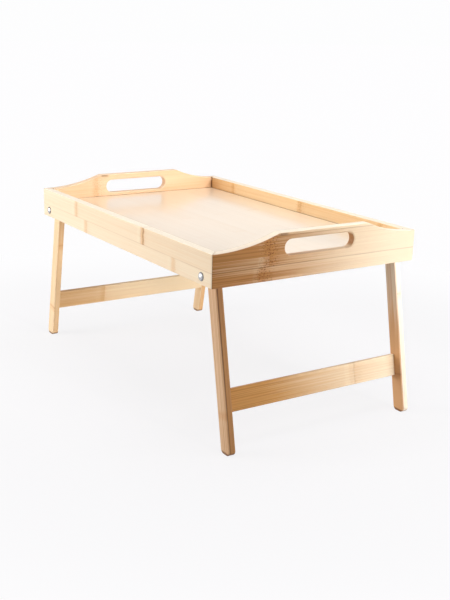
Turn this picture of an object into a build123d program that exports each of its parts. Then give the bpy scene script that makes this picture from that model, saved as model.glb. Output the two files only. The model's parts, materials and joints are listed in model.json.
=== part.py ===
from build123d import *

import os
from math import cos, radians, sin

# Folding bamboo bed tray on two hinged leg frames.
# Millimetres, +Z up, +X along the tray to the right, +Y to the back.
# The origin is on the floor under the middle of the tray, with the legs unfolded.

# Tray frame
TRAY_LENGTH = 500.0
TRAY_WIDTH = 316.0
RAIL_HEIGHT = 41.5
RAIL_THICKNESS = 12.0
FLOOR_TO_RAIL = 205.0
CORNER_RADIUS = 2.5
EDGE_RADIUS = 1.0

# Raised end rails with their handle slots
HANDLE_RISE = 16.5
SWEEP_FROM_CORNER = 5.0
SHOULDER_FROM_FRONT = 95.0
SHOULDER_FROM_BACK = 82.0
SHOULDER_RADIUS = 9.0
SLOT_LENGTH = 108.0
SLOT_HEIGHT = 20.5
SLOT_BELOW_CREST = 9.0
SLOT_EDGE_RADIUS = 1.8

# Panel, held in a groove round the inside of the rails
PANEL_THICKNESS = 3.5
GROOVE_DEPTH = 5.0
PANEL_EDGE_CLEARANCE = 0.5
PANEL_TOP_CLEARANCE = 0.2

# Legs and stretchers
LEG_WIDTH = 18.4
LEG_THICKNESS = 9.5
LEG_LEAN = 11.0
LEG_EDGE_RADIUS = 0.8
FOOT_RADIUS = 6.0
FOLDED_RECESS = 1.1
FOLDED_CLEARANCE = 0.6
STOP_CLEARANCE = 0.1
STRETCHER_WIDTH = 29.0
STRETCHER_THICKNESS = 6.0
STRETCHER_INSET = 0.5
STRETCHER_HEIGHT = 63.0
STRETCHER_EDGE_RADIUS = 0.8

# Pivot bolts, washers and nuts
BOLT_DIAMETER = 5.0
BOLT_HEAD_DIAMETER = 11.0
BOLT_DOME = 2.4
BOLT_HEAD_RIM = 0.5
BOLT_TIP = 1.0
BOLT_TIP_CHAMFER = 0.5
NECK_SIDE = 5.2
NECK_LENGTH = 3.0
NECK_CLEARANCE = 0.1
BOLT_HOLE_CLEARANCE = 0.2
PIVOT_CLEARANCE = 0.1
WASHER_DIAMETER = 10.0
WASHER_CLEARANCE = 0.3
SPACER_THICKNESS = 1.0
WASHER_THICKNESS = 1.0
SIDE_CLEARANCE = 0.05
NUT_ACROSS_FLATS = 8.0
NUT_HEX_HEIGHT = 3.4
NUT_COLLAR_DIAMETER = 7.2
NUT_COLLAR_HEIGHT = 1.4
NUT_EDGE_CHAMFER = 0.3
NUT_CLEARANCE = 0.06

# Dowels
CORNER_DOWEL_DIAMETER = 4.0
CORNER_DOWEL_LENGTH = 9.0
CORNER_DOWEL_MARGIN = 9.5
STRETCHER_DOWEL_DIAMETER = 3.0
STRETCHER_DOWEL_LENGTH = 18.0
STRETCHER_DOWEL_IN_LEG = 6.0
STRETCHER_DOWEL_SPACING = 15.0
DOWEL_CLEARANCE = 0.1
DOWEL_END_CLEARANCE = 0.4

# Sizes that follow from the ones above
HALF_LENGTH = TRAY_LENGTH / 2
HALF_WIDTH = TRAY_WIDTH / 2
RAIL_TOP = FLOOR_TO_RAIL + RAIL_HEIGHT
CREST = RAIL_TOP + HANDLE_RISE
SLOT_CENTRE = CREST - SLOT_BELOW_CREST - SLOT_HEIGHT / 2
HALF_LEG = LEG_WIDTH / 2
LEAN_COS = cos(radians(LEG_LEAN))
LEAN_SIN = sin(radians(LEG_LEAN))

# The folded leg lies between the rail's lower edge and the panel.
PIVOT_RISE = HALF_LEG + FOLDED_RECESS
PIVOT_Z = FLOOR_TO_RAIL + PIVOT_RISE
GROOVE_BOTTOM = PIVOT_Z + HALF_LEG + FOLDED_CLEARANCE
GROOVE_HEIGHT = PANEL_THICKNESS + PANEL_TOP_CLEARANCE

# The unfolded leg stops on the rounded lower inner edge of the end rail.
STOP_REACH = HALF_LEG + EDGE_RADIUS + STOP_CLEARANCE
STOP_DROP = PIVOT_RISE - EDGE_RADIUS
PIVOT_TO_RAIL = (STOP_REACH + STOP_DROP * LEAN_SIN) / LEAN_COS - EDGE_RADIUS
PIVOT_X = HALF_LENGTH - RAIL_THICKNESS - PIVOT_TO_RAIL

# The stack on each bolt, measured inwards from the rail's outer face.
LEG_OUTER = RAIL_THICKNESS + SPACER_THICKNESS + SIDE_CLEARANCE
LEG_INNER = LEG_OUTER + LEG_THICKNESS
WASHER_FACE = LEG_INNER + SIDE_CLEARANCE
NUT_FACE = WASHER_FACE + WASHER_THICKNESS
NUT_HEIGHT = NUT_HEX_HEIGHT + NUT_COLLAR_HEIGHT
BOLT_LENGTH = NUT_FACE + NUT_HEIGHT + BOLT_TIP

STRETCHER_SPAN = TRAY_WIDTH - 2 * LEG_INNER
STRETCHER_U = STRETCHER_INSET + STRETCHER_THICKNESS / 2 - HALF_LEG
STRETCHER_V = (STRETCHER_HEIGHT - PIVOT_Z) / LEAN_COS

DIRECTION_TOLERANCE = 0.01
ENDS = {"left": -1, "right": 1}
SIDES = {"front": -1, "back": 1}

os.makedirs("parts", exist_ok=True)


def save(piece, name):
    """Label a finished piece and write it to its own file."""
    piece.part.label = name
    export_step(piece.part, f"parts/{name}.step")


def bolt_plane(end, side, depth=0.0):
    """Plane across a pivot bolt, depth inside the rail's outer face, facing inwards."""
    origin = (end * PIVOT_X, side * (HALF_WIDTH - depth), PIVOT_Z)
    return Plane(origin=origin, x_dir=(1, 0, 0), z_dir=(0, -side, 0))


def bolt_section(end, side):
    """Plane along a pivot bolt: x is the radius, y the depth inside the rail's outer face."""
    origin = (end * PIVOT_X, side * HALF_WIDTH, PIVOT_Z)
    return Plane(origin=origin, x_dir=(1, 0, 0), z_dir=(0, 0, -side))


def leg_plane(end, y):
    """Plane of a leg's outline: the pivot is its origin, x points outwards, y up the leg."""
    outwards = (end * LEAN_COS, 0, LEAN_SIN)
    return Plane(origin=(end * PIVOT_X, y, PIVOT_Z), x_dir=outwards, z_dir=(0, -end, 0))


def corner_dowel_planes(end, side):
    """Planes in the mitre of one corner, one for each dowel that crosses it."""
    x = end * (HALF_LENGTH - RAIL_THICKNESS / 2)
    y = side * (HALF_WIDTH - RAIL_THICKNESS / 2)
    heights = (FLOOR_TO_RAIL + CORNER_DOWEL_MARGIN, RAIL_TOP - CORNER_DOWEL_MARGIN)
    return [Plane(origin=(x, y, z), z_dir=(end, -side, 0)) for z in heights]


def stretcher_dowel_planes(end, side):
    """Planes across the two dowels at one end of a stretcher, at the middle of their length."""
    y = side * (STRETCHER_SPAN / 2 + STRETCHER_DOWEL_IN_LEG - STRETCHER_DOWEL_LENGTH / 2)
    frame = leg_plane(end, y)
    heights = (STRETCHER_V - STRETCHER_DOWEL_SPACING / 2, STRETCHER_V + STRETCHER_DOWEL_SPACING / 2)
    centres = [frame.from_local_coords((STRETCHER_U, v, 0)) for v in heights]
    return [Plane(origin=centre, z_dir=(0, 1, 0)) for centre in centres]


def mitred_outline(*corners):
    """Plan of one rail: its mitred strip, cut to the tray's rounded corners."""
    with BuildSketch(Plane.XY.offset(FLOOR_TO_RAIL)) as outline:
        RectangleRounded(TRAY_LENGTH, TRAY_WIDTH, CORNER_RADIUS)
        Polygon(*corners, align=None, mode=Mode.INTERSECT)
    return outline.sketch


def is_upright_or_mitre(edge):
    """True for a straight edge that runs upright or lies across a mitre."""
    if edge.geom_type != GeomType.LINE:
        return False
    along = edge.tangent_at(0.5)
    across_mitre = abs(abs(along.X) - abs(along.Y)) < DIRECTION_TOLERANCE
    upright = abs(along.Z) > 1 - DIRECTION_TOLERANCE
    return across_mitre or upright


def profile_edges(rail):
    """Edges of an end rail's profile, on both of its faces."""
    lengthwise = rail.edges().filter_by(is_upright_or_mitre, reverse=True)
    return lengthwise.filter_by(Axis.X, reverse=True)


def in_slot(edge):
    """True for an edge of the handle slot."""
    middle = edge.center()
    beside = abs(middle.Y) < SLOT_LENGTH / 2 + EDGE_RADIUS
    return beside and abs(middle.Z - SLOT_CENTRE) < SLOT_HEIGHT / 2 + EDGE_RADIUS


def dowel_holes(planes, diameter, length):
    """Cut a hole, a little wider and longer than its dowel, at each plane."""
    with Locations(*planes):
        Cylinder(
            (diameter + DOWEL_CLEARANCE) / 2, length + 2 * DOWEL_END_CLEARANCE, mode=Mode.SUBTRACT
        )


def make_long_rail(side):
    """Front or back rail: straight, mitred, grooved for the panel and bored for two bolts."""
    inner = side * (HALF_WIDTH - RAIL_THICKNESS)
    outer = side * HALF_WIDTH
    short_end = HALF_LENGTH - RAIL_THICKNESS
    plan = mitred_outline(
        (-HALF_LENGTH, outer), (HALF_LENGTH, outer), (short_end, inner), (-short_end, inner)
    )
    with BuildPart() as rail:
        add(plan)
        extrude(amount=RAIL_HEIGHT)
        fillet(rail.edges().filter_by(is_upright_or_mitre, reverse=True), EDGE_RADIUS)
        with Locations((0, inner, GROOVE_BOTTOM)):
            Box(
                TRAY_LENGTH,
                2 * GROOVE_DEPTH,
                GROOVE_HEIGHT,
                align=(Align.CENTER, Align.CENTER, Align.MIN),
                mode=Mode.SUBTRACT,
            )
        for end in ENDS.values():
            with BuildSketch(bolt_plane(end, side)):
                Circle((BOLT_DIAMETER + BOLT_HOLE_CLEARANCE) / 2)
            extrude(amount=RAIL_THICKNESS, mode=Mode.SUBTRACT)
            with BuildSketch(bolt_plane(end, side)):
                Rectangle(NECK_SIDE + NECK_CLEARANCE, NECK_SIDE + NECK_CLEARANCE)
            extrude(amount=NECK_LENGTH + NECK_CLEARANCE, mode=Mode.SUBTRACT)
            dowel_holes(corner_dowel_planes(end, side), CORNER_DOWEL_DIAMETER, CORNER_DOWEL_LENGTH)
    return rail


def make_end_rail(end):
    """Left or right rail: its top sweeps up to a flat crest over the handle slot."""
    inner = end * (HALF_LENGTH - RAIL_THICKNESS)
    outer = end * HALF_LENGTH
    short_end = HALF_WIDTH - RAIL_THICKNESS
    sweep_start = HALF_WIDTH - SWEEP_FROM_CORNER
    front_shoulder = SHOULDER_FROM_FRONT - HALF_WIDTH
    back_shoulder = HALF_WIDTH - SHOULDER_FROM_BACK
    shoulders = {SIDES["front"]: front_shoulder, SIDES["back"]: back_shoulder}
    plan = mitred_outline(
        (outer, -HALF_WIDTH), (outer, HALF_WIDTH), (inner, short_end), (inner, -short_end)
    )
    with BuildPart() as rail:
        with BuildSketch(Plane.YZ.offset(min(inner, outer))) as face:
            with BuildLine():
                Line((-HALF_WIDTH, FLOOR_TO_RAIL), (HALF_WIDTH, FLOOR_TO_RAIL))
                Line((front_shoulder, CREST), (back_shoulder, CREST))
                for side, shoulder in shoulders.items():
                    Line((side * HALF_WIDTH, FLOOR_TO_RAIL), (side * HALF_WIDTH, RAIL_TOP))
                    Line((side * HALF_WIDTH, RAIL_TOP), (side * sweep_start, RAIL_TOP))
                    TangentArc((side * sweep_start, RAIL_TOP), (shoulder, CREST), tangent=(-side, 0))
            make_face()
            fillet(face.vertices().group_by(Axis.Y)[-1], SHOULDER_RADIUS)
            with Locations((0, SLOT_CENTRE)):
                SlotOverall(SLOT_LENGTH, SLOT_HEIGHT, mode=Mode.SUBTRACT)
        extrude(amount=RAIL_THICKNESS)
        add(extrude(plan, amount=CREST - FLOOR_TO_RAIL, mode=Mode.PRIVATE), mode=Mode.INTERSECT)
        fillet(profile_edges(rail).filter_by(in_slot), SLOT_EDGE_RADIUS)
        fillet(profile_edges(rail).filter_by(in_slot, reverse=True), EDGE_RADIUS)
        with Locations((inner, 0, GROOVE_BOTTOM)):
            Box(
                2 * GROOVE_DEPTH,
                TRAY_WIDTH,
                GROOVE_HEIGHT,
                align=(Align.CENTER, Align.CENTER, Align.MIN),
                mode=Mode.SUBTRACT,
            )
        for side in SIDES.values():
            dowel_holes(corner_dowel_planes(end, side), CORNER_DOWEL_DIAMETER, CORNER_DOWEL_LENGTH)
    return rail


def make_panel():
    """Thin board that lies on the lower side of the groove."""
    margin = RAIL_THICKNESS - GROOVE_DEPTH + PANEL_EDGE_CLEARANCE
    with BuildPart() as panel:
        with BuildSketch(Plane.XY.offset(GROOVE_BOTTOM)):
            Rectangle(TRAY_LENGTH - 2 * margin, TRAY_WIDTH - 2 * margin)
        extrude(amount=PANEL_THICKNESS)
    return panel


def make_leg(end, side):
    """Leg with a round head on the pivot and a foot cut level with the floor."""
    foot_outer = -(PIVOT_Z + HALF_LEG * LEAN_SIN) / LEAN_COS
    foot_inner = -(PIVOT_Z - HALF_LEG * LEAN_SIN) / LEAN_COS
    bore_radius = (BOLT_DIAMETER + PIVOT_CLEARANCE) / 2
    middle = side * (HALF_WIDTH - (LEG_OUTER + LEG_INNER) / 2)
    with BuildPart() as leg:
        with BuildSketch(leg_plane(end, middle)) as outline:
            with BuildLine():
                ThreePointArc((-HALF_LEG, 0), (0, HALF_LEG), (HALF_LEG, 0))
                Polyline((HALF_LEG, 0), (HALF_LEG, foot_outer), (-HALF_LEG, foot_inner), (-HALF_LEG, 0))
            make_face()
            fillet(outline.vertices().sort_by(Axis.Y)[:2], FOOT_RADIUS)
        extrude(amount=LEG_THICKNESS / 2, both=True)
        fillet(leg.edges().filter_by(Axis.Y, reverse=True), LEG_EDGE_RADIUS)
        with BuildSketch(leg_plane(end, middle)):
            Circle(bore_radius)
        extrude(amount=LEG_THICKNESS, both=True, mode=Mode.SUBTRACT)
        dowel_holes(stretcher_dowel_planes(end, side), STRETCHER_DOWEL_DIAMETER, STRETCHER_DOWEL_LENGTH)
    return leg


def make_stretcher(end):
    """Flat bar between two legs, on the side that faces the panel when folded."""
    with BuildPart() as stretcher:
        with BuildSketch(leg_plane(end, 0)):
            with Locations((STRETCHER_U, STRETCHER_V)):
                Rectangle(STRETCHER_THICKNESS, STRETCHER_WIDTH)
        extrude(amount=STRETCHER_SPAN / 2, both=True)
        fillet(stretcher.edges().filter_by(Axis.Y), STRETCHER_EDGE_RADIUS)
        for side in SIDES.values():
            dowel_holes(
                stretcher_dowel_planes(end, side), STRETCHER_DOWEL_DIAMETER, STRETCHER_DOWEL_LENGTH
            )
    return stretcher


def make_dowels(planes, diameter, length):
    """Plain round dowels, one at each plane."""
    with BuildPart() as dowels:
        with Locations(*planes):
            Cylinder(diameter / 2, length)
    return dowels


def make_bolt(end, side):
    """Domed bolt with a square neck that keeps it from turning in the rail."""
    head_radius = BOLT_HEAD_DIAMETER / 2
    shank_radius = BOLT_DIAMETER / 2
    section = bolt_section(end, side)
    with BuildPart() as bolt:
        with BuildSketch(section):
            with BuildLine():
                TangentArc(
                    (0, -BOLT_DOME - BOLT_HEAD_RIM), (head_radius, -BOLT_HEAD_RIM), tangent=(1, 0)
                )
                Polyline(
                    (head_radius, -BOLT_HEAD_RIM),
                    (head_radius, 0),
                    (shank_radius, 0),
                    (shank_radius, BOLT_LENGTH - BOLT_TIP_CHAMFER),
                    (shank_radius - BOLT_TIP_CHAMFER, BOLT_LENGTH),
                    (0, BOLT_LENGTH),
                    (0, -BOLT_DOME - BOLT_HEAD_RIM),
                )
            make_face()
        revolve(axis=Axis(section.origin, section.y_dir))
        with BuildSketch(bolt_plane(end, side)):
            Rectangle(NECK_SIDE, NECK_SIDE)
        extrude(amount=NECK_LENGTH)
    return bolt


def make_washer(end, side, depth, thickness):
    """Flat ring on a pivot bolt, starting at a depth inside the rail's outer face."""
    with BuildPart() as washer:
        with BuildSketch(bolt_plane(end, side, depth)):
            Circle(WASHER_DIAMETER / 2)
            Circle((BOLT_DIAMETER + WASHER_CLEARANCE) / 2, mode=Mode.SUBTRACT)
        extrude(amount=thickness)
    return washer


def make_nut(end, side):
    """Hexagon lock nut with a round collar."""
    with BuildPart() as nut:
        with BuildSketch(bolt_plane(end, side, NUT_FACE)):
            RegularPolygon(NUT_ACROSS_FLATS / 2, 6, major_radius=False)
        extrude(amount=NUT_HEX_HEIGHT)
        chamfer(nut.edges().filter_by(Axis.Y, reverse=True), NUT_EDGE_CHAMFER)
        with BuildSketch(bolt_plane(end, side, NUT_FACE)):
            Circle(NUT_COLLAR_DIAMETER / 2)
        extrude(amount=NUT_HEIGHT)
        with BuildSketch(bolt_plane(end, side, NUT_FACE)):
            Circle((BOLT_DIAMETER + NUT_CLEARANCE) / 2)
        extrude(amount=NUT_HEIGHT, mode=Mode.SUBTRACT)
    return nut


# The tray: four rails round a panel
for side_name, side in SIDES.items():
    save(make_long_rail(side), f"{side_name}_rail")
for end_name, end in ENDS.items():
    save(make_end_rail(end), f"{end_name}_end_rail")
save(make_panel(), "tray_panel")

# At each corner: the mitre's dowels, the pivot hardware and the leg
for end_name, end in ENDS.items():
    for side_name, side in SIDES.items():
        corner = f"{side_name}_{end_name}"
        mitre = corner_dowel_planes(end, side)
        save(make_dowels(mitre, CORNER_DOWEL_DIAMETER, CORNER_DOWEL_LENGTH), f"{corner}_corner_dowels")
        save(make_bolt(end, side), f"{corner}_pivot_bolt")
        save(make_washer(end, side, RAIL_THICKNESS, SPACER_THICKNESS), f"{corner}_spacer_washer")
        save(make_washer(end, side, WASHER_FACE, WASHER_THICKNESS), f"{corner}_inner_washer")
        save(make_nut(end, side), f"{corner}_lock_nut")
        save(make_leg(end, side), f"{corner}_leg")

# Between the legs of each frame: the stretcher and its dowels
for end_name, end in ENDS.items():
    joints = [plane for side in SIDES.values() for plane in stretcher_dowel_planes(end, side)]
    dowels = make_dowels(joints, STRETCHER_DOWEL_DIAMETER, STRETCHER_DOWEL_LENGTH)
    save(make_stretcher(end), f"{end_name}_stretcher")
    save(dowels, f"{end_name}_stretcher_dowels")
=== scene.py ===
import json
from math import cos, radians, sin

import bpy
from mathutils import Matrix, Vector


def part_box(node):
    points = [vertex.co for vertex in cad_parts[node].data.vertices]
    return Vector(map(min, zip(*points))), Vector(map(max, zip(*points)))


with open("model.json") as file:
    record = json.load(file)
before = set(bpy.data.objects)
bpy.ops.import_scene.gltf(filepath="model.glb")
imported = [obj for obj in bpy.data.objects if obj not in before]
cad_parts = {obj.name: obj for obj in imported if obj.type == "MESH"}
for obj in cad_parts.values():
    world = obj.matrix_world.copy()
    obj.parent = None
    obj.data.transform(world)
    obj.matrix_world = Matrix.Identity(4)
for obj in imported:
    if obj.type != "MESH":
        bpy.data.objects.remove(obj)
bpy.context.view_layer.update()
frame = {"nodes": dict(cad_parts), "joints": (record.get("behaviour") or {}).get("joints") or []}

# Looks of a folding bamboo bed tray: laminated bamboo, plated steel, nylon, light and camera.
# Metres, +Z up, +X along the tray to the right, +Y to the back.

NODES = frame["nodes"]
MM = 0.001

# Camera, as the photograph was taken
IMAGE_HEIGHT = 600
SENSOR = 36.0
FOCAL_PIXELS = 957.5
CAMERA_PLACE = Vector((1.1538, -0.7286, 0.5025))
CAMERA_AZIMUTH = radians(56.88)
CAMERA_ELEVATION = radians(16.15)
CAMERA_ROLL = radians(1.48)

# Sizes read from the frame
RIGHT_LOW, RIGHT_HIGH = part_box("right_end_rail")
RAIL_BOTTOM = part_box("left_end_rail")[0].z
RAIL_TOP = RIGHT_HIGH.z
RAIL_THICKNESS = RIGHT_HIGH.x - RIGHT_LOW.x
HALF_LENGTH = RIGHT_HIGH.x
HALF_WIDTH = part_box("back_rail")[1].y
PANEL_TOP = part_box("tray_panel")[1].z
LEG_LEAN = radians(frame["joints"][0]["range_deg"][1] - 90)
BOLT_LOW, BOLT_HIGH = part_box("front_right_pivot_bolt")
BOLT_PLACE = (BOLT_LOW.x + BOLT_HIGH.x) / 2
BOLT_HEIGHT = (BOLT_LOW.z + BOLT_HIGH.z) / 2
BOLT_HEAD = (BOLT_HIGH.z - BOLT_LOW.z) / 2

# Strips: glue lines' heights above the rails' bottom, their height on a stretcher as it leans, their
# depth behind the legs' front, and their pitch and number on each half of the panel. Then how far
# from a line the glue shows in full and fades out.
LOWER_STRIP = 18.5 * MM
UPPER_STRIP = 54.5 * MM
STRETCHER_STRIP = 0.0
LEG_FACING = 1.8 * MM
PANEL_STRIP = 21 * MM
PANEL_STRIPS = 7
GLUE_REACH = (0.2 * MM, 0.9 * MM)

# Knuckles: how far each mark shows in full and fades out, and how far beside the line it lies
KNUCKLE_WOBBLE = 6 * MM
LINE_REACH = (0.5 * MM, 2.2 * MM)
STAIN_REACH = (1.5 * MM, 8 * MM)
STAIN_BESIDE = 2 * MM
BAND_REACH = (2 * MM, 6 * MM)
BAND_BESIDE = 12 * MM
CLOUD_REACH = (3 * MM, 18 * MM)

# Scale of the grain: features per metre along and across the fibres
BROAD_SCALE = (1.5, 60)
STREAK_SCALE = (4, 540)
FIBRE_SCALE = (12, 1400)
PORE_SCALE = (75, 2300)
WARM_SCALE = (3, 150)
SPECK_SCALE = (400, 560)
BREAK_SCALE = (25, 420)
WOBBLE_SCALE = 130
PATCH_SCALE = 11

# How far apart the noise is read for neighbouring strips, knuckles and pieces
STRIP_SHIFT = 0.37
KNUCKLE_SHIFT = 7.3
SEED_COUNT = 97
SEEDS_PER_UNIT = 9.7

# Levels of noise or chance between which a mark comes up, and the least that stays of some
PORE_LEVELS = (0.62, 0.74)
WARM_LEVELS = (0.40, 0.70)
STREAK_LEVELS = (0.46, 0.62)
BREAK_LEVELS = (0.15, 0.50)
BOLD_LEVELS = (0.55, 1.0)
PATCH_LEVELS = (0.35, 0.65)
FAINT_PATCH = 0.4
FAINT_KNUCKLE = 0.4
DOT_RADII = (0.26, 0.52)
DOT_LEVELS = (0.05, 0.55)

# Shares of the grain and its marks in the shade between the two tones, the roughness and the relief
PLAIN_SHADE = 0.36
GRAIN_SHADES = {"streaks": 0.9, "fibres": 0.8, "broad": 0.9, "internode": 0.5}
MARK_SHADES = {"pores": 0.14, "stain": 0.30, "cloud": 0.10, "band": -0.12}
PLAIN_ROUGHNESS = 0.36
ROUGHNESS = {"streaks": 0.14, "pores": 0.12, "specks": 0.10}
RELIEF = {"streaks": 0.5, "fibres": 0.5, "line": 0.7, "glue": -0.8, "pores": -0.3, "specks": -0.4}

# What each mark leaves of the colour, and how strongly it shows
MARK_TINTS = {
    "warmth": ((1.0, 0.965, 0.92), 0.80),
    "dark streaks": ((0.66, 0.52, 0.38), 1.0),
    "stain": ((0.90, 0.70, 0.46), 0.70),
    "line": ((0.48, 0.30, 0.17), 0.85),
    "specks": ((0.40, 0.26, 0.14), 0.95),
    "glue": ((0.50, 0.35, 0.21), 1.0),
}
# Colour left by dark seams, joints and marks, and by the painted contact shadow at the feet
DIRT_AND_SHADOW = (0.30, 0.20, 0.12)
END_GRAIN = (0.48, 0.28, 0.13)

# The bamboo group's inputs, as they are where a piece doesn't set its own
BAMBOO_VALUES = {
    "Row": 0.0,
    "Edge": 1.0,
    "Seed": 0.0,
    "First": 0.0,
    "First step": 0.0,
    "Pitch": 0.25,
    "Pitch step": 0.0,
    "Contrast": 0.7,
    "Marks": 1.0,
    "Lines": 1.0,
    "Stains": 1.0,
    "Specks": 0.15,
    "Streaks": 0.0,
    "Glue": 0.6,
    "Drift": 0.0,
    "Amber": 0.0,
}

# Light and dark tones of the bamboo as they show in daylight
FRONT_TONES = ((251, 233, 205), (230, 194, 152))
BACK_TONES = ((248, 216, 170), (222, 173, 116))
LEFT_TONES = ((241, 209, 174), (214, 168, 120))
RIGHT_TONES = ((252, 231, 199), (195, 136, 75))
PANEL_TONES = ((247, 228, 204), (239, 211, 178))
LEG_TONES = ((250, 224, 186), (212, 164, 110))
WARM_TONES = ((246, 217, 176), (224, 164, 100))
# Paler tones for the back right leg in the bright light, and darker ones for the front right leg in the dim
# near corner: painted light and painted shade
LIT_LEG_TONES = ((255, 241, 219), (220, 167, 116))
SHADED_LEG_TONES = ((239, 212, 180), (197, 141, 85))
STRETCHER_TONES = ((252, 233, 203), (211, 153, 83))
# Pale tone of the rounded edges, partly wear and partly a painted highlight, and of the painted highlight on
# the upper edges
WEAR_AND_HIGHLIGHT_TONE = (254, 242, 222)

# Sides of a piece: the part of the normal that points their way, from none of the side to all of it
FLAT_SIDE = (0.74, 0.96)
END_SIDE = (0.45, 0.90)
BROAD_SIDE = (0.1, 0.5)
UPPER_SIDE = (0.25, 0.95)
LEVEL_SIDE = (0.3, 0.7)
OUTER_SIDE = (0.2, 0.7)

# Edges and lacquer: how pale the rounded edges are, partly wear and partly a painted highlight, how pale the
# upper edges are, a painted highlight, and how dark the end grain is
EDGE_WEAR_AND_HIGHLIGHT = 0.30
TOP_HIGHLIGHT = 0.8
TOP_HIGHLIGHT_ABOVE_PANEL = (8 * MM, 14 * MM)
DARK_ENDS = 0.95
MITRED_ENDS = 0.25
THIN_COAT = 0.06
FULL_COAT = 1.0
COAT_ROUGHNESS = 0.16
LACQUER_SPECULAR = 0.28
GRAIN_BUMP = 0.25
GRAIN_DEPTH = 0.25 * MM

# Heights between which a leg's front changes tone, partly as painted shade, tone of a leg's plain sides, and
# height above the rails' bottom from which the painted shade on the right rail's near end is darkest
LEG_FADE = (60 * MM, 190 * MM)
PLAIN_SIDE = 0.1
DARK_PART = 31 * MM

# Dark seams, corners, marks and lines, and the painted contact shadow at the feet: how far each shows in
# full and fades out, and how dark it is
SEAM_REACH = (0.1 * MM, 0.4 * MM)
SEAM_DIRT = 0.4
SEAM_END = (1 * MM, 4 * MM)
SEAM_END_DIRT = 1.5
CORNER_REACH = (0.7 * MM, 2 * MM)
SCORCH_PLACE = 101 * MM - HALF_WIDTH
SCORCH_REACH = (3 * MM, 9 * MM)
SCORCH_DEPTH = (5 * MM, 2 * MM)
SCORCH_DIRT = 0.55
GROOVE_REACH = (0.6 * MM, 2.4 * MM)
GROOVE_DIRT = 0.9
# Painted contact shadow at the feet
FOOT_REACH = (2 * MM, 4.5 * MM)
FOOT_SHADOW = 0.95
JOINT_REACH = (0.4 * MM, 1.5 * MM)
JOINT_DIRT = 0.85
JOINT_FADE = (20 * MM, 150 * MM)
JOINT_LOW_END = 0.5

# Steel and nylon
STEEL_CLOUDS = 420
STEEL_SCRATCHES = (900, 900, 9000)
WORN_STEEL = 0.72
CLOUD_ROUGHNESS = 0.12
SCRATCH_ROUGHNESS = 0.06
STEEL_BUMP = 0.08
STEEL_DEPTH = 0.05 * MM
# Painted dark reflection round the bolt heads' rims: its width, colour and strength
RIM_WIDTH = (1.6 * MM, 0.3 * MM)
RIM_SHADE = (0.25, 0.22, 0.19)
RIM_DARKNESS = 0.65
NYLON_CLOUDS = 300
NYLON_TONES = ((0.80, 0.78, 0.72), (0.72, 0.69, 0.60))
NYLON_ROUGHNESS = 0.38
NYLON_CLOUD_ROUGHNESS = 0.15

# Floor and background, as the camera sees them and as they light the tray
FLOOR_SIZE = 40.0
FLOOR_FADE = (0.30, 0.80)
FLOOR_SEEN = (0.85, 0.84, 0.86)
FLOOR_UNSEEN = (0.50, 0.50, 0.51)
FLOOR_ROUGHNESS = 0.9
FLOOR_SPECULAR = 0.1
FLOOR_WHITE = (0.99, 0.985, 0.995, 1)
WHITE_NEAR_TRAY = 0.84
WORLD_SEEN = (0.985, 0.985, 0.99, 1)
WORLD_UNSEEN = (1.0, 1.0, 1.0, 1)
WORLD_LIGHT = 0.10


def linear(tone):
    """A tone of 0 to 255 as the linear colour that a shader takes."""
    return tuple(((part / 255 + 0.055) / 1.055) ** 2.4 for part in tone)


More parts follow.
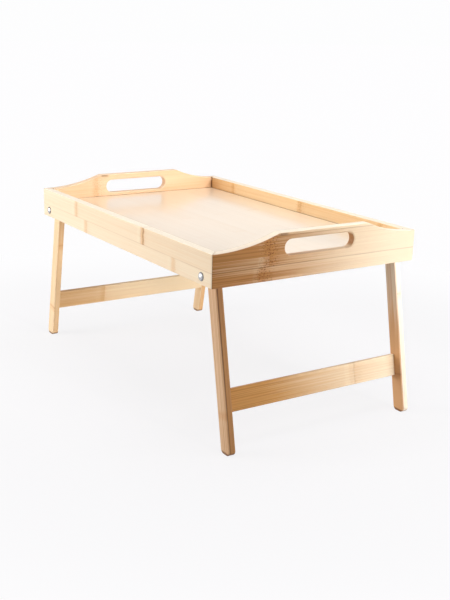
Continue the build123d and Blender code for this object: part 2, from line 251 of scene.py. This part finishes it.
class Graph:
    """A node tree, with short calls for the nodes that the materials are made of."""

    def __init__(self, tree):
        self.tree = tree

    def node(self, kind, **settings):
        made = self.tree.nodes.new(kind)
        for name, value in settings.items():
            setattr(made, name, value)
        return made

    def feed(self, socket, value):
        """Link an output to a socket, or set the socket to a constant."""
        if isinstance(value, bpy.types.NodeSocket):
            self.tree.links.new(value, socket)
        else:
            socket.default_value = value

    def math(self, operation, *values):
        made = self.node("ShaderNodeMath", operation=operation)
        for socket, value in zip(made.inputs, values):
            self.feed(socket, value)
        return made.outputs[0]

    def chain(self, operation, values):
        """One operation on the first two values, then on the result and the next one, and so on."""
        result = values[0]
        for value in values[1:]:
            result = self.math(operation, result, value)
        return result

    def add(self, *values):
        return self.chain("ADD", values)

    def times(self, *values):
        return self.chain("MULTIPLY", values)

    def most(self, *values):
        return self.chain("MAXIMUM", values)

    def least(self, *values):
        return self.chain("MINIMUM", values)

    def less(self, value, taken):
        return self.math("SUBTRACT", value, taken)

    def size(self, value):
        return self.math("ABSOLUTE", value)

    def weigh(self, values, shares):
        """Sum of the named values, each times its share."""
        return self.add(*(self.times(values[name], share) for name, share in shares.items()))

    def fade(self, value, start, end, low=0.0, high=1.0):
        """Smooth step of a value from low at start to high at end."""
        made = self.node("ShaderNodeMapRange", interpolation_type="SMOOTHSTEP")
        self.feed(made.inputs["Value"], value)
        self.feed(made.inputs["From Min"], start)
        self.feed(made.inputs["From Max"], end)
        self.feed(made.inputs["To Min"], low)
        self.feed(made.inputs["To Max"], high)
        return made.outputs["Result"]

    def near(self, distance, reach, strength=1.0):
        """Full strength within the first reach on either side of zero, and none past the second."""
        return self.fade(self.size(distance), *reach, strength, 0.0)

    def vector(self, x=0.0, y=0.0, z=0.0):
        made = self.node("ShaderNodeCombineXYZ")
        for socket, value in zip(made.inputs, (x, y, z)):
            self.feed(socket, value)
        return made.outputs[0]

    def split(self, vector):
        made = self.node("ShaderNodeSeparateXYZ")
        self.feed(made.inputs[0], vector)
        return made.outputs[0], made.outputs[1], made.outputs[2]

    def noise(self, vector, scale=1.0, detail=2.0):
        made = self.node("ShaderNodeTexNoise")
        self.feed(made.inputs["Vector"], vector)
        self.feed(made.inputs["Scale"], scale)
        self.feed(made.inputs["Detail"], detail)
        return made.outputs["Fac"]

    def dots(self, vector):
        """Round dots, one to a cell of about a unit, some fainter than others."""
        made = self.node("ShaderNodeTexVoronoi", feature="F1")
        self.feed(made.inputs["Vector"], vector)
        self.feed(made.inputs["Scale"], 1.0)
        strength, _, _ = self.split(made.outputs["Color"])
        return self.times(self.near(made.outputs["Distance"], DOT_RADII), self.fade(strength, *DOT_LEVELS))

    def chance(self, *values):
        """An even random number that depends only on the given values."""
        made = self.node("ShaderNodeTexWhiteNoise", noise_dimensions="3D")
        self.feed(made.inputs["Vector"], self.vector(*values))
        number, _, _ = self.split(made.outputs["Color"])
        return number

    def blend(self, factor, first, second, mode="MIX"):
        made = self.node("ShaderNodeMix", data_type="RGBA", blend_type=mode)
        self.feed(made.inputs["Factor"], factor)
        for socket, colour in (("A", first), ("B", second)):
            linked = isinstance(colour, bpy.types.NodeSocket)
            self.feed(made.inputs[socket], colour if linked else (*colour, 1))
        return made.outputs["Result"]

    def bump(self, shader, height, strength, distance):
        """Relief on a shader's surface, with its depth in metres."""
        made = self.node("ShaderNodeBump")
        self.feed(made.inputs["Strength"], strength)
        self.feed(made.inputs["Distance"], distance)
        self.feed(made.inputs["Height"], height)
        self.feed(shader.inputs["Normal"], made.outputs["Normal"])


def new_material(name):
    """A node material with a principled shader, its graph and that shader."""
    material = bpy.data.materials.new(name)
    material.use_nodes = True
    shader = material.node_tree.nodes["Principled BSDF"]
    return material, Graph(material.node_tree), shader


def object_place(g, lean=0.0, output="Object"):
    """Object coordinates, or the normal in them, turned about Y by the lean."""
    place = g.node("ShaderNodeTexCoord").outputs[output]
    if lean:
        turned = g.node("ShaderNodeVectorRotate", rotation_type="Y_AXIS")
        g.feed(turned.inputs["Vector"], place)
        g.feed(turned.inputs["Angle"], lean)
        place = turned.outputs[0]
    return g.split(place)


def stretched(g, grain, scale):
    """A place in the grain, measured in features along and across the fibres."""
    along, across, into = grain
    length, width = scale
    return g.vector(g.times(along, length), g.times(across, width), g.times(into, width))


def fibre_marks(g, given, grain):
    """The fibres of each strip, from broad bands to fine pores, and where they are warm or dark."""
    along, across, into = grain
    run = g.add(along, g.times(given["Row"], STRIP_SHIFT), given["Seed"])
    strip = (run, across, into)
    streaks = g.noise(stretched(g, strip, STREAK_SCALE), detail=3)
    pores = g.noise(stretched(g, strip, PORE_SCALE), detail=1)
    warmth = g.noise(stretched(g, strip, WARM_SCALE), detail=2)
    return {
        "broad": g.noise(stretched(g, strip, BROAD_SCALE), detail=3),
        "streaks": streaks,
        "fibres": g.noise(stretched(g, strip, FIBRE_SCALE), detail=3),
        "pores": g.fade(pores, *PORE_LEVELS),
        "warmth": g.times(g.fade(warmth, *WARM_LEVELS), given["Contrast"]),
        "dark streaks": g.times(g.fade(streaks, *STREAK_LEVELS), given["Streaks"]),
    }


def nearest_knuckle(g, given, along, across):
    """Distance to the nearest knuckle of the strip, and that knuckle's and the internode's chances."""
    pitch = g.add(given["Pitch"], g.times(given["Row"], given["Pitch step"]))
    first = g.add(given["First"], g.times(given["Row"], given["First step"]))
    turn = g.math("DIVIDE", g.less(along, first), pitch)
    knuckle = g.math("FLOOR", g.add(turn, 0.5))
    internode = g.math("FLOOR", turn)
    wobble = g.noise(g.vector(g.times(across, WOBBLE_SCALE), g.times(knuckle, KNUCKLE_SHIFT), given["Seed"]))
    bend = g.times(g.less(wobble, 0.5), KNUCKLE_WOBBLE)
    distance = g.add(g.times(g.less(turn, knuckle), pitch), bend)
    strength = g.chance(knuckle, given["Row"], given["Seed"])
    tone = g.chance(internode, given["Row"], given["Seed"])
    return distance, g.add(FAINT_KNUCKLE, g.times(strength, 1 - FAINT_KNUCKLE)), tone


def knuckle_marks(g, given, grain):
    """Knuckles: a thin broken line, a stain and a pale band on one side, in a cloud of specks."""
    along, across, _ = grain
    distance, strength, tone = nearest_knuckle(g, given, along, across)
    length, width = BREAK_SCALE
    breaks = g.noise(g.vector(g.times(across, width), g.times(along, length), given["Seed"]))
    bold = g.times(g.fade(strength, *BOLD_LEVELS), given["Marks"], given["Lines"])
    strength = g.times(strength, given["Marks"])
    stain = g.near(g.add(distance, STAIN_BESIDE), STAIN_REACH)
    band = g.near(g.add(distance, BAND_BESIDE), BAND_REACH)
    cloud = g.times(g.near(distance, CLOUD_REACH), strength)
    dots = g.dots(stretched(g, grain, SPECK_SCALE))
    return {
        "internode": tone,
        "line": g.times(g.near(distance, LINE_REACH), g.fade(breaks, *BREAK_LEVELS), bold),
        "stain": g.times(stain, strength, given["Stains"]),
        "band": g.times(band, strength),
        "cloud": cloud,
        "specks": g.times(dots, cloud, given["Specks"]),
    }


def glue_mark(g, given, along):
    """Glue lines, stronger in places."""
    patches = g.noise(g.vector(g.times(along, PATCH_SCALE), given["Row"], given["Seed"]))
    patches = g.fade(patches, *PATCH_LEVELS, FAINT_PATCH, 1.0)
    return g.times(g.near(given["Edge"], GLUE_REACH), patches, given["Glue"])


def make_bamboo_group():
    """Laminated bamboo: strips with their own tone, fibres, knuckles and glue lines.

    Grain holds the place along the fibres, across the strips and into the wood, Row the number
    of the strip and Edge the distance to the nearest glue line. Lengths are in metres. The lacquer
    follows fibres and knuckles a little, and sinks at glue lines.
    """
    tree = bpy.data.node_groups.new("bamboo", "ShaderNodeTree")
    sockets = tree.interface
    sockets.new_socket("Grain", in_out="INPUT", socket_type="NodeSocketVector")
    for name in BAMBOO_VALUES:
        sockets.new_socket(name, in_out="INPUT", socket_type="NodeSocketFloat")
    for name in ("Light", "Dark"):
        sockets.new_socket(name, in_out="INPUT", socket_type="NodeSocketColor")
    sockets.new_socket("Color", in_out="OUTPUT", socket_type="NodeSocketColor")
    for name in ("Roughness", "Height"):
        sockets.new_socket(name, in_out="OUTPUT", socket_type="NodeSocketFloat")
    g = Graph(tree)
    given = g.node("NodeGroupInput").outputs
    grain = g.split(given["Grain"])
    along, _, _ = grain
    marks = fibre_marks(g, given, grain)
    marks.update(knuckle_marks(g, given, grain))
    marks["glue"] = glue_mark(g, given, along)

    middle = sum(GRAIN_SHADES.values()) / 2
    fine = g.less(g.weigh(marks, GRAIN_SHADES), middle)
    shade = g.add(PLAIN_SHADE, g.times(fine, given["Contrast"]), g.weigh(marks, MARK_SHADES))
    # Amber shifts a piece's tone and Drift changes it along the piece; the pieces use them for tone and for
    # painted light and shade
    shade = g.add(shade, given["Amber"], g.times(along, given["Drift"]))
    colour = g.blend(g.least(g.most(shade, 0.0), 1.0), given["Light"], given["Dark"])
    for name, (tint, strength) in MARK_TINTS.items():
        colour = g.blend(g.times(marks[name], strength), colour, tint, "MULTIPLY")

    made = g.node("NodeGroupOutput").inputs
    g.feed(made["Color"], colour)
    g.feed(made["Roughness"], g.add(PLAIN_ROUGHNESS, g.weigh(marks, ROUGHNESS)))
    g.feed(made["Height"], g.weigh(marks, RELIEF))
    return tree


BAMBOO = make_bamboo_group()


def strip_rows(g, across, cuts):
    """Number of the strip that a place lies in, and its distance to the nearest glue line."""
    row = BAMBOO_VALUES["Row"]
    edge = BAMBOO_VALUES["Edge"]
    for cut in cuts:
        row = g.add(row, g.math("GREATER_THAN", across, cut))
        edge = g.least(edge, g.size(g.less(across, cut)))
    return row, edge


def bamboo_wood(g, name, grain, cuts, tones, values):
    """Outputs of the bamboo group, with its inputs set for one piece."""
    wood = g.node("ShaderNodeGroup", node_tree=BAMBOO)
    _, across, _ = grain
    row, edge = strip_rows(g, across, cuts)
    seed = sum(ord(letter) for letter in name) % SEED_COUNT / SEEDS_PER_UNIT
    settings = {**BAMBOO_VALUES, "Row": row, "Edge": edge, "Seed": seed, **values}
    g.feed(wood.inputs["Grain"], g.vector(*grain))
    for socket, value in settings.items():
        g.feed(wood.inputs[socket], value(g) if callable(value) else value)
    for socket, tone in zip(("Light", "Dark"), tones):
        g.feed(wood.inputs[socket], (*linear(tone), 1))
    return wood.outputs


def bamboo_material(
    name,
    axes,
    cuts,
    tones,
    lean=0.0,
    dirt=None,
    tops=0.0,
    ends=DARK_ENDS,
    coat=THIN_COAT,
    wear=EDGE_WEAR_AND_HIGHLIGHT,
    **values,
):
    """Lacquered bamboo for one piece.

    axes names the directions along, across and into the grain, and cuts the glue lines' places
    across it. tones are the light and the dark tone, and values the group's other inputs, as
    numbers or as functions that make them. dirt makes a mask of what darkens the surface: dark
    seams, joints and marks and, at the feet, a painted contact shadow. tops is how pale the upper
    edges are, a painted highlight, ends how dark the end grain is, coat the weight of the lacquer,
    and wear how pale the rounded edges are, partly wear and partly a painted highlight.
    """
    material, g, shader = new_material(name)
    place = dict(zip("xyz", object_place(g, lean)))
    facing = dict(zip("xyz", object_place(g, lean, "Normal")))
    wood = bamboo_wood(g, name, [place[axis] for axis in axes], cuts, tones, values)
    to_end, to_edge, to_face = (g.size(facing[axis]) for axis in axes)
    # Rounded edges paler: partly wear, partly a painted highlight where they catch the light
    worn_and_highlit = g.fade(g.most(to_end, to_edge, to_face), *FLAT_SIDE, wear, 0.0)
    colour = g.blend(worn_and_highlit, wood["Color"], linear(WEAR_AND_HIGHLIGHT_TONE))
    # Painted highlight: faces turned up, above the panel, paler where the light from above falls on them
    if tops:
        start, end = (PANEL_TOP + above for above in TOP_HIGHLIGHT_ABOVE_PANEL)
        upper = g.times(g.fade(facing["z"], *UPPER_SIDE), g.fade(place["z"], start, end, 0.0, tops))
        colour = g.blend(upper, colour, linear(WEAR_AND_HIGHLIGHT_TONE))
    cut = g.times(g.fade(to_end, *END_SIDE), g.fade(to_face, *BROAD_SIDE, 1.0, 0.0))
    colour = g.blend(g.times(cut, ends), colour, END_GRAIN, "MULTIPLY")
    # Dark seams, joints and marks, and on the legs a painted contact shadow at the feet
    if dirt:
        colour = g.blend(dirt(g), colour, DIRT_AND_SHADOW, "MULTIPLY")
    g.feed(shader.inputs["Base Color"], colour)
    g.feed(shader.inputs["Roughness"], wood["Roughness"])
    g.bump(shader, wood["Height"], GRAIN_BUMP, GRAIN_DEPTH)
    shader.inputs["Specular IOR Level"].default_value = LACQUER_SPECULAR
    shader.inputs["Coat Weight"].default_value = coat
    shader.inputs["Coat Roughness"].default_value = COAT_ROUGHNESS
    return material


def to_back(start, end, low, high):
    """What makes a value that is low in front of one place across the tray and high behind another."""

    def value(g):
        _, y, _ = object_place(g)
        return g.fade(y, start, end, low, high)

    return value


# How the panel and the pieces at the right change towards the back; the panel is paler at the back with
# painted light, and the right rail's near half darker with painted shade
panel_painted_shading = to_back(0.0, 140 * MM, 0.15, -0.25)
right_contrast = to_back(-70 * MM, 60 * MM, 0.85, 0.32)
right_streaks = to_back(-90 * MM, 10 * MM, 0.60, 0.0)
right_glue = to_back(-80 * MM, 60 * MM, 0.80, 0.55)
right_near_half = to_back(-50 * MM, 90 * MM, 0.16, 0.0)
right_near_end = to_back(-80 * MM, -74 * MM, 0.26, 0.0)


def right_near_shade(g):
    """Painted shade on the near half of the right rail, in the dim near corner, darkest in its upper part as
    far as the knuckle.
    """
    _, _, z = object_place(g)
    upper = g.math("GREATER_THAN", z, RAIL_BOTTOM + DARK_PART)
    return g.add(g.times(upper, right_near_end(g)), right_near_half(g))


def faced_leg(node, top, foot, side):
    """What makes a leg's front facing, from its top to its foot, and its right side darker or paler: painted
    shade and painted light, for how the light falls on each leg.
    """
    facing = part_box(node)[0].y + LEG_FACING

    def leg_shading(g):
        _, y, z = object_place(g)
        front = g.fade(z, *LEG_FADE, foot, top)
        behind = g.math("GREATER_THAN", y, facing)
        to_right, _, _ = object_place(g, output="Normal")
        rest = g.fade(to_right, *OUTER_SIDE, PLAIN_SIDE, side)
        return g.add(front, g.times(behind, g.less(rest, front)))

    return leg_shading


def rail_dirt(g):
    """Fine seams at the four mitres, dark inner corners and scorched front shoulders."""
    x, y, z = object_place(g)
    from_end = g.less(HALF_LENGTH, g.size(x))
    from_side = g.less(HALF_WIDTH, g.size(y))
    seam = g.near(g.less(from_end, from_side), SEAM_REACH, SEAM_DIRT)
    seam = g.times(seam, g.fade(g.add(from_end, from_side), *SEAM_END, SEAM_END_DIRT, 1.0))
    to_end = g.size(g.less(from_end, RAIL_THICKNESS))
    to_side = g.size(g.less(from_side, RAIL_THICKNESS))
    corner = g.near(g.most(to_end, to_side), CORNER_REACH)
    start, end = (RAIL_TOP - depth for depth in SCORCH_DEPTH)
    _, _, upward = object_place(g, output="Normal")
    sloping = g.fade(upward, *LEVEL_SIDE, 1.0, 0.0)
    scorch = g.near(g.less(y, SCORCH_PLACE), SCORCH_REACH, SCORCH_DIRT)
    return g.most(seam, corner, g.times(scorch, g.fade(z, start, end), sloping))


def panel_dirt(g):
    """A dark line along the rails, where the panel runs into its groove."""
    x, y, _ = object_place(g)
    to_end = g.less(HALF_LENGTH - RAIL_THICKNESS, g.size(x))
    to_side = g.less(HALF_WIDTH - RAIL_THICKNESS, g.size(y))
    return g.fade(g.least(to_end, to_side), *GROOVE_REACH, GROOVE_DIRT, 0.0)


def foot_contact_shadow(g):
    """Painted contact shadow on the ends that stand on the floor."""
    _, _, z = object_place(g)
    return g.fade(z, *FOOT_REACH, FOOT_SHADOW, 0.0)


def near_leg_joint_and_shadow(g):
    """Painted contact shadow on the foot, and a dark open joint behind the front facing, on the outer side.
    """
    _, y, z = object_place(g)
    outward, _, _ = object_place(g, output="Normal")
    joint = g.near(g.less(y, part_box("front_right_leg")[0].y + LEG_FACING), JOINT_REACH, JOINT_DIRT)
    joint = g.times(joint, g.fade(outward, *OUTER_SIDE), g.fade(z, *JOINT_FADE, JOINT_LOW_END, 1.0))
    return g.most(foot_contact_shadow(g), joint)


def steel_material(name, colour, roughness, wear):
    """Plated steel with faint clouds and fine scratches, darker round the heads' rims as a painted dark
    reflection.
    """
    material, g, shader = new_material(name)
    place = object_place(g)
    x, _, z = place
    clouds = g.noise(g.vector(*place), scale=STEEL_CLOUDS, detail=3)
    fine = (g.times(part, scale) for part, scale in zip(place, STEEL_SCRATCHES))
    scratches = g.noise(g.vector(*fine), detail=2)
    aside = g.less(g.size(x), BOLT_PLACE)
    above = g.less(z, BOLT_HEIGHT)
    radius = g.math("SQRT", g.add(g.times(aside, aside), g.times(above, above)))
    # Painted dark reflection round the head's rim
    rim = g.fade(radius, *(BOLT_HEAD - width for width in RIM_WIDTH))
    shown = g.blend(g.times(clouds, wear), colour, [WORN_STEEL * part for part in colour])
    shown = g.blend(g.times(rim, RIM_DARKNESS), shown, RIM_SHADE, "MULTIPLY")
    uneven = g.add(g.times(clouds, CLOUD_ROUGHNESS), g.times(scratches, SCRATCH_ROUGHNESS))
    g.feed(shader.inputs["Base Color"], shown)
    g.feed(shader.inputs["Roughness"], g.add(roughness, uneven))
    g.bump(shader, g.add(scratches, clouds), STEEL_BUMP, STEEL_DEPTH)
    shader.inputs["Metallic"].default_value = 1.0
    return material


def nylon_material(name):
    """Natural nylon: off-white, a little cloudy."""
    material, g, shader = new_material(name)
    clouds = g.noise(g.vector(*object_place(g)), scale=NYLON_CLOUDS, detail=2)
    g.feed(shader.inputs["Base Color"], g.blend(clouds, *NYLON_TONES))
    g.feed(shader.inputs["Roughness"], g.add(NYLON_ROUGHNESS, g.times(clouds, NYLON_CLOUD_ROUGHNESS)))
    return material


def dress(node, material):
    """Give a CAD node its finished material."""
    NODES[node].material_slots[0].material = material


def knuckle_places(first, first_step, pitch, pitch_step=0.0):
    """Where the lowest strip's knuckles lie, and how much that differs for each strip above it."""
    return {"First": first, "First step": first_step, "Pitch": pitch, "Pitch step": pitch_step}


def dress_tray():
    """Rails of two or three strips each, and the wide pale panel."""
    low = RAIL_BOTTOM + LOWER_STRIP
    high = RAIL_BOTTOM + UPPER_STRIP
    front = knuckle_places(-92 * MM, -33 * MM, 254 * MM, -47 * MM)
    # Front rail paler towards its right end: painted light
    front.update(Glue=0.3, Seed=2.98, Contrast=0.55, Stains=0.85, Drift=-0.35)
    back = knuckle_places(-110 * MM, -58 * MM, 240 * MM, -58 * MM)
    # Back rail paler towards its right end: painted light
    back.update(Drift=-0.8, Stains=0.75, Lines=0.5, Specks=0.5, Contrast=0.9)
    left = knuckle_places(-100 * MM, 30 * MM, 260 * MM)
    # Left end rail darker towards the back: painted shade
    left.update(Lines=0.1, Stains=0.45, Specks=0.6, Drift=1.2, tops=0.1)
    # The right rail darker towards its dim near end and paler towards its bright back end: painted shade and
    # painted light
    right = knuckle_places(-84 * MM, 7 * MM, 270 * MM)
    right.update(Lines=0.2, Stains=0.15, Specks=1.1, Drift=-3.3, Seed=7.91, ends=DARK_ENDS, wear=0.0)
    right.update(Contrast=right_contrast, Streaks=right_streaks, Amber=right_near_shade, Glue=right_glue)
    rails = {
        "front_rail": ("xzy", (low,), FRONT_TONES, front),
        "back_rail": ("xzy", (low,), BACK_TONES, back),
        "left_end_rail": ("yzx", (low,), LEFT_TONES, left),
        "right_end_rail": ("yzx", (low, high), RIGHT_TONES, right),
    }
    for node, (axes, cuts, tones, own) in rails.items():
        looks = {"tops": TOP_HIGHLIGHT, "ends": MITRED_ENDS, **own}
        dress(node, bamboo_material(node, axes, cuts, tones, dirt=rail_dirt, **looks))
    cuts = [row * PANEL_STRIP for row in range(-PANEL_STRIPS, PANEL_STRIPS + 1)]
    veneer = knuckle_places(0.0, 107 * MM, 330 * MM)
    # The panel darker towards the left, a painted reflection of the warm left rail, and paler at the back,
    # painted light
    veneer.update(Contrast=0.35, Marks=0.15, Glue=0.1, Drift=-1.5, Amber=panel_painted_shading, coat=FULL_COAT)
    dress("tray_panel", bamboo_material("tray_panel", "xyz", cuts, PANEL_TONES, dirt=panel_dirt, **veneer))


def dress_leg(node, turn, tones, top, foot, side, dirt=foot_contact_shadow, wear=EDGE_WEAR_AND_HIGHLIGHT, **values):
    """A leg with the grain along it and a thin facing on its front."""
    cuts = (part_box(node)[0].y + LEG_FACING,)
    looks = {**knuckle_places(0.0, 110 * MM, 260 * MM), "Marks": 0.4, **values}
    # Painted shade and light on the leg's front and right side
    looks["Amber"] = faced_leg(node, top, foot, side)
    dress(node, bamboo_material(node, "zyx", cuts, tones, turn, dirt, wear=wear, **looks))


def dress_stretcher(node, turn, tones, first, **values):
    """A stretcher with the grain along it, and a narrow strip at its lower edge without a dark line."""
    looks = {**knuckle_places(first, 0.0, 240 * MM), "Marks": 0.6, "Glue": 0.0, **values}
    dress(node, bamboo_material(node, "yzx", (STRETCHER_STRIP,), tones, turn, wear=0.0, **looks))


def dress_frames():
    """The two leg frames, each with two legs and a stretcher."""
    # The left legs' right sides a little darker, the front right leg dark in the dim near corner and the
    # back right leg's right side pale in the bright light: painted shade and painted light
    plain = {"tones": WARM_TONES, "top": -0.26, "foot": -0.26, "side": 0.18, "Glue": 0.4}
    leg_shading = {"tones": SHADED_LEG_TONES, "top": 0.32, "foot": 0.20, "side": 0.72, "Glue": 0.6, "Streaks": 0.40}
    leg_shading.update(dirt=near_leg_joint_and_shadow, wear=0.0)
    pale = {"tones": LIT_LEG_TONES, "top": -0.16, "foot": 0.75, "side": -0.50, "Glue": 0.3, "Streaks": 0.15}
    dress_leg("front_left_leg", -LEG_LEAN, **plain)
    dress_leg("back_left_leg", -LEG_LEAN, **plain)
    dress_leg("front_right_leg", LEG_LEAN, **leg_shading)
    dress_leg("back_right_leg", LEG_LEAN, **pale)
    # Both stretchers darker towards the front and paler towards the back, and the right one darker still in
    # the dim near corner: painted shade and painted light
    left = {"Amber": -0.05, "Drift": -3.0, "Stains": 0.75, "Lines": 0.2}
    right = {"Amber": 0.34, "Drift": -5.0, "Stains": 0.15, "Lines": 0.45, "Streaks": right_streaks}
    dress_stretcher("left_stretcher", -LEG_LEAN, LEG_TONES, -55 * MM, **left)
    dress_stretcher("right_stretcher", LEG_LEAN, STRETCHER_TONES, 65 * MM, **right)


def dress_hardware():
    """Bolts, washers, nuts and dowels."""
    bright = steel_material("bright_steel", colour=(0.52, 0.52, 0.54), roughness=0.18, wear=0.3)
    plain = steel_material("plain_steel", colour=(0.62, 0.62, 0.61), roughness=0.30, wear=0.7)
    finishes = {
        "pivot_bolt": bright,
        "spacer_washer": nylon_material("nylon"),
        "inner_washer": plain,
        "lock_nut": plain,
        "dowels": bamboo_material("dowel_wood", "xyz", (), LEG_TONES, Marks=0.0),
    }
    for node in NODES:
        for ending, material in finishes.items():
            if node.endswith(ending):
                dress(node, material)


def background_rays(g):
    """One for rays from the camera, and for those that a shiny or clear surface sends on."""
    rays = g.node("ShaderNodeLightPath").outputs
    return g.most(rays["Is Camera Ray"], rays["Is Glossy Ray"], rays["Is Transmission Ray"])


def mix_shaders(g, output, factor, first, second):
    """Feed a tree's output with a mix of two shaders."""
    mixed = g.node("ShaderNodeMixShader")
    for socket, value in zip(mixed.inputs, (factor, first.outputs[0], second.outputs[0])):
        g.feed(socket, value)
    g.feed(g.tree.nodes[output].inputs["Surface"], mixed.outputs[0])


def build_floor():
    """White floor that keeps a faint shadow near the tray and fades into the background."""
    bpy.ops.mesh.primitive_plane_add(size=FLOOR_SIZE)
    floor = bpy.context.object
    floor.name = "floor"
    material, g, shader = new_material("floor")
    length = g.node("ShaderNodeVectorMath", operation="LENGTH")
    g.feed(length.inputs[0], g.node("ShaderNodeTexCoord").outputs["Object"])
    whiteness = g.fade(length.outputs["Value"], *FLOOR_FADE, WHITE_NEAR_TRAY, 1.0)
    seen = background_rays(g)
    g.feed(shader.inputs["Base Color"], g.blend(seen, FLOOR_UNSEEN, FLOOR_SEEN))
    shader.inputs["Roughness"].default_value = FLOOR_ROUGHNESS
    shader.inputs["Specular IOR Level"].default_value = FLOOR_SPECULAR
    white = g.node("ShaderNodeEmission")
    white.inputs["Color"].default_value = FLOOR_WHITE
    mix_shaders(g, "Material Output", g.times(whiteness, seen), shader, white)
    floor.data.materials.append(material)


def build_world():
    """White background that gives the tray only a little light."""
    world = bpy.data.worlds.new("studio")
    world.use_nodes = True
    bpy.context.scene.world = world
    g = Graph(world.node_tree)
    plain = world.node_tree.nodes["Background"]
    plain.inputs["Color"].default_value = WORLD_UNSEEN
    plain.inputs["Strength"].default_value = WORLD_LIGHT
    white = g.node("ShaderNodeBackground")
    white.inputs["Color"].default_value = WORLD_SEEN
    mix_shaders(g, "World Output", background_rays(g), plain, white)


def hang(lamp, place, target):
    """Put a lamp at a place, turned towards a target and out of the camera's sight."""
    holder = bpy.data.objects.new(lamp.name, lamp)
    holder.location = place
    holder.rotation_euler = (Vector(target) - Vector(place)).to_track_quat("-Z", "Y").to_euler()
    holder.visible_camera = False
    bpy.context.scene.collection.objects.link(holder)


def add_softbox(name, place, target, size, power):
    """A square area lamp."""
    lamp = bpy.data.lights.new(name, "AREA")
    lamp.size = size
    lamp.energy = power
    hang(lamp, place, target)


def add_spot(name, place, target, cone, radius, power):
    """A round spot lamp of some radius, with a soft cone given in degrees."""
    lamp = bpy.data.lights.new(name, "SPOT")
    lamp.energy = power
    lamp.spot_size = radians(cone)
    lamp.spot_blend = 1.0
    lamp.shadow_soft_size = radius
    hang(lamp, place, target)


def build_lights():
    """Soft light from above, from the front left and from the right, where it leaves the near corner dim.

    The low and the high spot aim past the back right corner for that. The last spot shines under the
    tray, at the upper end of the front left leg.
    """
    tray = (0.0, 0.0, 0.22)
    right_rail = (0.25, 0.13, 0.22)
    low_aim = (0.25, 0.302, 0.19)
    high_aim = (0.25, 0.225, 0.19)
    left_leg = (-0.235, -0.140, 0.165)
    add_softbox("top_softbox", (0.10, 0.0, 1.15), tray, size=0.8, power=7.4)
    add_softbox("front_softbox", (-0.56, -1.45, 0.42), tray, size=0.8, power=20.0)
    add_softbox("right_softbox", (0.78, 0.66, 0.45), right_rail, size=0.50, power=1.2)
    add_spot("low_spot", (1.80, 1.60, 0.32), low_aim, cone=10.1, radius=0.19, power=150.0)
    add_spot("high_spot", (2.24, 0.50, 0.66), high_aim, cone=14.6, radius=0.39, power=470.0)
    add_spot("leg_spot", (1.20, 0.12, 0.12), left_leg, cone=7.0, radius=0.02, power=36.0)


def build_camera():
    """The photograph's camera, placed by the fit of the tray's edges."""
    back = Vector(
        (
            sin(CAMERA_AZIMUTH) * cos(CAMERA_ELEVATION),
            -cos(CAMERA_AZIMUTH) * cos(CAMERA_ELEVATION),
            sin(CAMERA_ELEVATION),
        )
    )
    level = Vector((0, 0, 1)).cross(back).normalized()
    upright = back.cross(level)
    right = cos(CAMERA_ROLL) * level + sin(CAMERA_ROLL) * upright
    up = back.cross(right)
    data = bpy.data.cameras.new("camera")
    data.sensor_width = SENSOR
    data.lens = FOCAL_PIXELS * SENSOR / IMAGE_HEIGHT
    camera = bpy.data.objects.new("camera", data)
    turn = Matrix((right, up, back)).transposed().to_4x4()
    camera.matrix_world = Matrix.Translation(CAMERA_PLACE) @ turn
    bpy.context.scene.collection.objects.link(camera)
    bpy.context.scene.camera = camera


dress_tray()
dress_frames()
dress_hardware()
build_floor()
build_world()
build_lights()
build_camera()
bpy.context.scene.view_settings.view_transform = "Standard"
